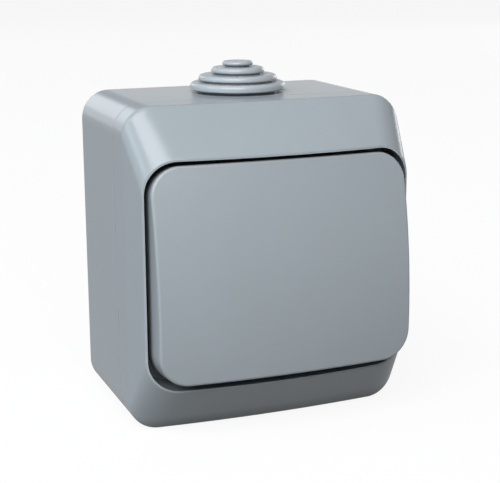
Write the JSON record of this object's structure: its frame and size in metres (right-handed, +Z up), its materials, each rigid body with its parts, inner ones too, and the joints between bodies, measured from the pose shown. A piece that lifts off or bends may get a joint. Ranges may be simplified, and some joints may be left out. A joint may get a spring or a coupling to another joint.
{
  "type": "weatherproof wall switch",
  "caption": "Surface-mounted weatherproof light switch: a deep grey box with a stepped cable grommet, a crowned front cover and a broad rocker over a change-over contact.",
  "frame": {"origin": "centre of the flat back face, on the wall", "axes": "+X to the right and +Z up as the switch hangs on its wall; -Y out of the wall to the front, so +Y points into the wall"},
  "size_m": [0.074, 0.0575, 0.09],
  "materials": {
    "grey_plastic": "semi-gloss moulded bluish grey",
    "grey_elastomer": "matt moulded grey",
    "dark_elastomer": "matt black",
    "insulating_plastic": "matt moulded black",
    "light_plastic": "matt moulded off-white",
    "plated_steel": "zinc plated",
    "spring_steel": "drawn wire",
    "brass": "rolled strip",
    "silver_alloy": "plain contact metal"
  },
  "bodies": {
    "housing": {"rear_box": "grey_plastic", "front_cover": "grey_plastic", "cover_seal": "dark_elastomer", "aperture_seal": "dark_elastomer", "cable_entry_grommet": "grey_elastomer", "cover_screws": "plated_steel", "mechanism_screws": "plated_steel", "terminal_screws": "plated_steel", "earth_terminal_screw": "plated_steel", "mechanism_base": "insulating_plastic", "mechanism_frame": "light_plastic", "common_contact": "brass", "upper_fixed_contact": "brass", "lower_fixed_contact": "brass", "earth_terminal": "brass", "fixed_contact_tips": "silver_alloy", "terminal_clamps": "plated_steel"},
    "rocker": {"rocker_plate": "grey_plastic", "rocker_cradle": "light_plastic"},
    "plunger": {"plunger": "light_plastic", "plunger_spring": "spring_steel"},
    "bridge": {"contact_bridge": "brass", "moving_contact_tips": "silver_alloy"}
  },
  "joints": [
    {"name": "rocker_tilt", "type": "hinge", "parent": "housing", "child": "rocker", "pos_m": [0, -0.0437, 0.00044], "axis": [1, 0, 0], "range_deg": [0, 12]},
    {"name": "bridge_rock", "type": "hinge", "parent": "housing", "child": "bridge", "pos_m": [0, -0.024, 0], "axis": [1, 0, 0], "range_deg": [-19, 0]},
    {"name": "plunger_slide", "type": "slide", "parent": "rocker", "child": "plunger", "axis": [0, -0.9945, 0.1045], "range_m": [0, 0.0003], "stiffness_N_per_m": 800, "springref_m": -0.004}
  ],
  "couplings": [
    {"joint": "bridge_rock", "follows": "rocker_tilt", "ratio": -1.5833}
  ]
}
